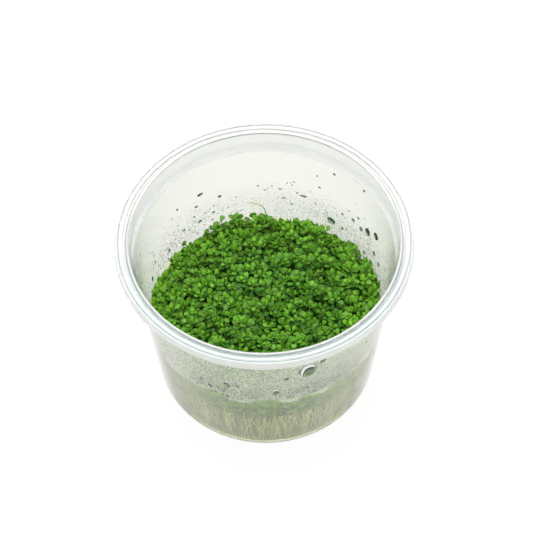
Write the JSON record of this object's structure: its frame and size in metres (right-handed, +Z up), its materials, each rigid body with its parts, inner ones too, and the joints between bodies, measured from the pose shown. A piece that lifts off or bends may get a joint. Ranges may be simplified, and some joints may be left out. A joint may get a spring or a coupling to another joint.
{
  "type": "glossostigma elatinoides in a tissue culture cup",
  "caption": "Open clear culture cup with a layer of nutrient gel and a dense mat of small round-leaved aquarium plants whose roots hang in the gel.",
  "frame": {"origin": "centre of the cup's base, on the surface it stands on", "axes": "+Z up along the cup's axis, out of its mouth; +Y towards the back as the picture shows it"},
  "size_m": [0.1006, 0.1006, 0.0717],
  "materials": {
    "cup": "natural translucent polypropylene, satin",
    "gel": "clear wet gel, olive grey",
    "plant": "fresh green leaf, soft sheen",
    "condensation": "clear water"
  },
  "bodies": {
    "root": {"cup": "cup", "nutrient_gel": "gel", "plant_01": "plant", "plant_02": "plant", "plant_03": "plant", "plant_04": "plant", "plant_05": "plant", "plant_06": "plant", "plant_07": "plant", "plant_08": "plant", "plant_09": "plant", "plant_10": "plant", "plant_11": "plant", "plant_12": "plant", "plant_13": "plant", "plant_14": "plant", "plant_15": "plant", "plant_16": "plant", "plant_17": "plant", "plant_18": "plant", "plant_19": "plant", "plant_20": "plant", "plant_21": "plant", "plant_22": "plant", "plant_23": "plant", "plant_24": "plant", "plant_25": "plant", "plant_26": "plant", "plant_27": "plant", "plant_28": "plant", "plant_29": "plant", "plant_30": "plant"}
  },
  "joints": []
}
